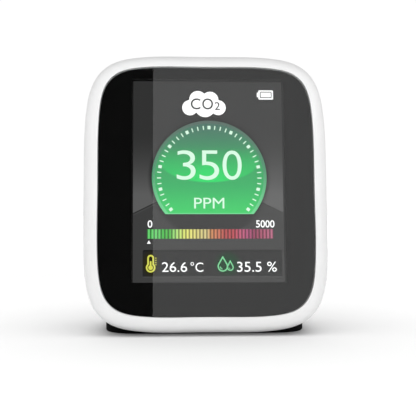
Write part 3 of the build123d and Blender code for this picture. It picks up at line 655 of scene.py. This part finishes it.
def makeGauge():
    rim = gaugePoints(gauge["radius"], gauge["flat"])
    face = gaugePoints(gauge["radius"] - gauge["rim"], gauge["flat"] + gauge["foot"])
    onScreen(cut("gauge_rim", lights["rim"], rim), 1)
    onScreen(cut("gauge_face", lights["gauge"], face), 2)


ticks = {
    "radius": 14.35, "square": 0.88, "tall": 1.15, "length": 1.2, "width": 0.31, "corner": 0.09,
    "step": 26.0, "each": 4, "reach": 130.0,
}


def makeTicks():
    marks = []
    fine = ticks["step"] / ticks["each"]
    count = round(ticks["reach"] / fine)
    middle = gauge["up"] + ticks["radius"]
    for step in range(-count, count + 1):
        large = step % ticks["each"] == 0
        width = ticks["square"] if large else ticks["width"]
        height = ticks["square"] * ticks["tall"] if large else ticks["length"]
        mark = card("tick", lights["mint"], gauge["right"], middle, width, height, ticks["corner"], 2)
        marks.append(turned(mark, radians(step * fine), (gauge["right"], gauge["up"])))
    onScreen(join("gauge_ticks", marks), 3)


reading = {
    "figures": [("3", -6.42, 5.4), ("5", 0.2, 5.6), ("0", 6.74, 5.5)], "up": 4.4, "height": 8.5,
    "weight": -0.005, "unit": ("PPM", 0.1, -6.5, 8.6, 3.06, 0.001),
}


def makeReading():
    digits = []
    for figure, right, width in reading["figures"]:
        place = (right, reading["up"], width, reading["height"])
        digits.append(words("digit", lights["mint"], figure, *place, reading["weight"]))
    onScreen(join("reading", digits), 4)
    onScreen(words("reading_unit", lights["mint"], *reading["unit"]), 4)


makeGround()
makeGauge()
makeTicks()
makeReading()
print("gauge made")

cloud = {
    "right": -1.2, "up": 22.2, "edge": 0.3, "waist": -0.4, "corners": 180,
    "discs": [
        (-4.05, -1.1, 2.25), (-1.75, 1.35, 2.5), (1.75, 1.2, 2.45), (4.1, -1.05, 2.2), (0.3, -0.9, 2.95),
    ],
    "letters": [("C", -2.42, 0.02, 2.75, 3.2), ("O", 1.06, 0.02, 3.1, 3.2), ("2", 3.85, -0.58, 1.5, 2.3)],
    "weight": 0.001,
}


def makeCloud():
    x, y = cloud["right"], cloud["up"]
    middle = (x, y + cloud["waist"])
    discs = [(x + dx, y + dy, r) for dx, dy, r in cloud["discs"]]
    rim = [(dx, dy, r + cloud["edge"]) for dx, dy, r in discs]
    onScreen(cut("cloud_edge", lights["shade"], blob(rim, middle, cloud["corners"])), 1)
    onScreen(cut("cloud", lights["white"], blob(discs, middle, cloud["corners"])), 2)
    letters = []
    for body, dx, dy, width, height in cloud["letters"]:
        place = (x + dx, y + dy, width, height)
        letters.append(words("letter", lights["ink"], body, *place, cloud["weight"]))
    onScreen(join("cloud_letters", letters), 3)


battery = {
    "right": 16.75, "up": 25.0, "width": 4.3, "height": 2.75, "corner": 0.3, "line": 0.22, "inset": 0.9,
    "tip": 0.5, "tipShare": 0.5, "tipCorner": 0.12, "overlap": 0.05,
}


def makeBatterySign():
    x, y, width, height = (battery[key] for key in ("right", "up", "width", "height"))
    case = card("battery_sign", lights["white"], x, y, width, height, battery["corner"])
    tipAt = x - width / 2 - battery["tip"] / 2 + battery["overlap"]
    tipTall = height * battery["tipShare"]
    tip = card("battery_tip", lights["white"], tipAt, y, battery["tip"], tipTall, battery["tipCorner"])
    onScreen(case, 1)
    onScreen(tip, 1)
    inside = (width - battery["inset"], height - battery["inset"])
    ring = card("battery_ring", lights["ink"], x, y, *inside, battery["corner"])
    onScreen(outlineOf(ring, battery["line"]), 2)


scaleText = {
    "ends": [("scale_start", "0", -16.7, 1.35), ("scale_end", "5000", 16.0, 5.3)],
    "up": -12.4, "height": 2.1, "weight": 0.014,
    "pointer": [(-17.0, -17.0), (-17.55, -17.95), (-16.45, -17.95)],
}


def makeScale():
    left, right, low, high = (scaleBar[key] for key in ("left", "right", "low", "high"))
    pitch = (right - left) / scaleBar["count"]
    middle = (low + high) / 2
    back = card("scale_back", lights["barBack"], (left + right) / 2, middle, right - left, high - low)
    onScreen(back, 1)
    bars = []
    for step in range(scaleBar["count"]):
        place = (left + (step + 0.5) * pitch, middle, pitch * scaleBar["share"], high - low)
        bars.append(card("bar", lights["bar"], *place, scaleBar["corner"], 2))
    onScreen(join("scale_bars", bars), 2)
    for name, body, right, width in scaleText["ends"]:
        place = (right, scaleText["up"], width, scaleText["height"])
        onScreen(words(name, lights["white"], body, *place, scaleText["weight"]), 1)
    onScreen(cut("scale_pointer", lights["white"], scaleText["pointer"]), 1)


makeCloud()
makeBatterySign()
makeScale()
print("scale made")

infoText = {
    "temperature": ("26.6", -9.8, -24.5, 7.1, 2.75, 0.002),
    "temperature_unit": ("°C", -3.5, -24.5, 3.6, 2.75, 0.002),
    "humidity": ("35.5 %", 13.45, -24.5, 11.3, 2.85, 0.002),
}


def makeInfoPanel():
    place = [infoPanel[key] for key in ("right", "up", "width", "height", "corner")]
    onScreen(card("info_panel", lights["panel"], *place), 1)
    for name, text in infoText.items():
        onScreen(words(name, lights["white"], *text), 2)


thermometer = {
    "right": -16.5, "up": -24.65, "bulb": 1.35, "stem": 0.95, "top": -22.0, "line": 0.46, "fluid": 0.66,
    "column": (0.95, 0.5, 1.7, 0.1), "marks": 4, "markRight": 1.45, "markStep": 0.62, "mark": (0.5, 0.18),
    "steps": 24, "corners": 120, "fluidCorners": 40,
}


def makeThermometer():
    x, y = thermometer["right"], thermometer["up"]
    steps = thermometer["steps"]
    rise = thermometer["top"] - y
    stem = [(x, y + rise * i / steps, thermometer["stem"]) for i in range(steps + 1)]
    body = blob([(x, y, thermometer["bulb"])] + stem, (x, y), thermometer["corners"])
    shell = outlineOf(cut("thermometer", lights["yellow"], body), thermometer["line"])
    disc = blob([(x, y, thermometer["fluid"])], (x, y), thermometer["fluidCorners"])
    fluid = cut("fluid", lights["yellow"], disc)
    above, width, height, corner = thermometer["column"]
    marks = [card("column", lights["yellow"], x, y + above, width, height, corner, 2)]
    for i in range(thermometer["marks"]):
        place = (x + thermometer["markRight"], thermometer["top"] - i * thermometer["markStep"])
        marks.append(card("mark", lights["yellow"], *place, *thermometer["mark"]))
    onScreen(shell, 2)
    onScreen(fluid, 2)
    onScreen(join("thermometer_marks", marks), 3)


drops = {
    "large": {"right": 3.8, "up": -24.35, "radius": 1.5, "tip": 3.0, "line": 0.38, "layer": 2},
    "small": {"right": 5.9, "up": -24.65, "radius": 0.98, "tip": 2.15, "line": 0.34, "layer": 3},
}
dropShape = {"steps": 24, "corners": 120}
glints = {"large": {"radius": 0.88, "line": 0.26}, "small": {"radius": 0.48, "line": 0.18}}
glintArc = {"from": 185, "to": 265, "step": 8}         # degrees round the drop's middle


def makeDrop(size):
    drop = drops[size]
    x, y, steps = drop["right"], drop["up"], dropShape["steps"]
    discs = [(x, y + drop["tip"] * i / steps, drop["radius"] * (1 - i / steps)) for i in range(steps)]
    outer = cut("drop_" + size, lights["green"], blob(discs, (x, y), dropShape["corners"]))
    onScreen(outlineOf(outer, drop["line"]), drop["layer"])


def makeGlint(size):                      # short arc low on the left inside a drop
    x, y = drops[size]["right"], drops[size]["up"]
    outer = glints[size]["radius"]
    inner = outer - glints[size]["line"]
    turns = [radians(turn) for turn in range(glintArc["from"], glintArc["to"] + 1, glintArc["step"])]
    points = [(x + outer * cos(turn), y + outer * sin(turn)) for turn in turns]
    points += [(x + inner * cos(turn), y + inner * sin(turn)) for turn in reversed(turns)]
    onScreen(cut("glint_" + size, lights["green"], points), drops[size]["layer"])


makeInfoPanel()
makeThermometer()
for make in (makeDrop, makeGlint):
    make("large")
    make("small")
print("signs made")


def makeGlass():                          # a hair thinner than its pocket, so that it doesn't lie in the film
    source = nodes["cover_lens"]
    piece = source.copy()
    piece.data = source.data.copy()
    piece.name = "front_glass"
    piece.parent = None
    scene.collection.objects.link(piece)
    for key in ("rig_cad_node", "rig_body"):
        del piece[key]
    only(piece)
    bpy.ops.mesh.customdata_custom_splitnormals_clear()
    weld = (bpy.ops.mesh.remove_doubles, {"threshold": glass["weld"] * mm})
    editWhole(piece, weld, (bpy.ops.mesh.dissolve_limited, {"angle_limit": radians(glass["flat"])}))
    back = faceMiddle + faceIn * glass["back"] * mm
    for vertex in piece.data.vertices:
        if abs((vertex.co - back).dot(faceIn)) < glass["reach"] * mm:
            vertex.co -= faceIn * glass["gap"] * mm
    bpy.ops.object.shade_smooth_by_angle(angle=radians(glass["crease"]))
    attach(piece, "housing")
    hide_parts("cover_lens")


makeGlass()
print("glass made")

studio = {
    "floor": 6.0, "floorTone": 0.42, "floorGlow": 0.055, "glowFrom": 0.2, "glowTo": 0.8,
    "sky": 0.6, "skySeen": 1.02, "boxSize": 0.9, "boxPower": 4.0, "boxDistance": 0.7, "boxHeight": 0.06,
    "topRadius": 1.0, "topHeight": 1.0, "topPower": 32.5,
}


def makeFloor():
    bpy.ops.object.select_all(action="DESELECT")
    bpy.ops.mesh.primitive_plane_add(size=studio["floor"])
    finish = Finish("studioFloor")
    away = finish.add("VectorMath", {"operation": "LENGTH"}, {0: finish.add("TexCoord", output=3)}, output=1)
    level = away.ramp(studio["glowFrom"], studio["glowTo"], studio["floorGlow"])
    sockets = {"Base Color": strength(studio["floorTone"]), "Roughness": 0.9, "Specular IOR Level": 0.0}
    sockets.update({"Emission Color": finish.blend(level, black, white), "Emission Strength": 1.0})
    floor = named("floor", finish.solid(sockets))
    return floor


def makeWorld():                          # even sky, pure white where the camera sees it
    world = bpy.data.worlds.new("studio")
    scene.world = world
    world.use_nodes = True
    tree = world.node_tree
    tree.nodes.clear()
    path = tree.nodes.new("ShaderNodeLightPath")
    level = tree.nodes.new("ShaderNodeMapRange")
    sky = tree.nodes.new("ShaderNodeBackground")
    out = tree.nodes.new("ShaderNodeOutputWorld")
    level.inputs["To Min"].default_value = studio["sky"]
    level.inputs["To Max"].default_value = studio["skySeen"]
    sky.inputs["Color"].default_value = white
    tree.links.new(path.outputs["Is Camera Ray"], level.inputs["Value"])
    tree.links.new(level.outputs[0], sky.inputs["Strength"])
    tree.links.new(sky.outputs[0], out.inputs["Surface"])


def areaLight(name, shape, size, power, place):        # lights the scene without showing in what is glossy
    light = bpy.data.lights.new(name, "AREA")
    light.shape = shape
    light.size = size
    light.energy = power
    lamp = bpy.data.objects.new(name, light)
    scene.collection.objects.link(lamp)
    lamp.location = place
    lamp.visible_glossy = False
    return lamp


def makeTopLight(floor):                  # soft light from above that only the floor receives
    above = (0.0, 0.0, studio["topHeight"])
    lamp = areaLight("top_light", "DISK", studio["topRadius"] * 2, studio["topPower"], above)
    receivers = bpy.data.collections.new("top_light_receivers")
    receivers.objects.link(floor)
    lamp.light_linking.receiver_collection = receivers


def makeSoftbox():                        # wide soft light round the camera
    place = (0.0, -studio["boxDistance"], studio["boxHeight"])
    lamp = areaLight("softbox", "SQUARE", studio["boxSize"], studio["boxPower"], place)
    lamp.rotation_euler = (pi / 2, 0.0, 0.0)


cards = {"distance": 0.6, "size": 0.9, "height": 0.25, "edge": -0.0194, "bright": 0.68, "dark": 0.022}


def makeCard(tone, side):                 # seen only in what is glossy
    bpy.ops.object.select_all(action="DESELECT")
    middle = (cards["edge"] + side * cards["size"] / 2, -cards["distance"], cards["height"])
    bpy.ops.mesh.primitive_plane_add(size=cards["size"], location=middle, rotation=(pi / 2, 0, 0))
    name = tone + "_card"
    finish = Finish(name)
    glow = finish.add("Emission", {}, {"Color": white, "Strength": cards[tone]})
    piece = named(name, finish.close(glow))
    for ray in ("camera", "diffuse", "transmission", "shadow", "volume_scatter"):
        setattr(piece, "visible_" + ray, False)


cameraSetup = {
    "lens": 77.9, "sensor": 36.0, "near": 0.01, "distance": 0.25497, "right": -0.01347, "height": 0.03651,
    "turn": -3.108, "tilt": -0.141,
}


def makeCamera():
    data = bpy.data.cameras.new("camera")
    data.lens = cameraSetup["lens"]
    data.sensor_width = cameraSetup["sensor"]
    data.clip_start = cameraSetup["near"]
    camera = bpy.data.objects.new("camera", data)
    scene.collection.objects.link(camera)
    camera.location = (cameraSetup["right"], faceMiddle.y - cameraSetup["distance"], cameraSetup["height"])
    camera.rotation_euler = (radians(90 + cameraSetup["tilt"]), 0.0, radians(cameraSetup["turn"]))
    scene.camera = camera


makeTopLight(makeFloor())
makeWorld()
makeSoftbox()
makeCard("dark", -1)
makeCard("bright", 1)
makeCamera()
scene.view_settings.view_transform = "Standard"
print("studio made")
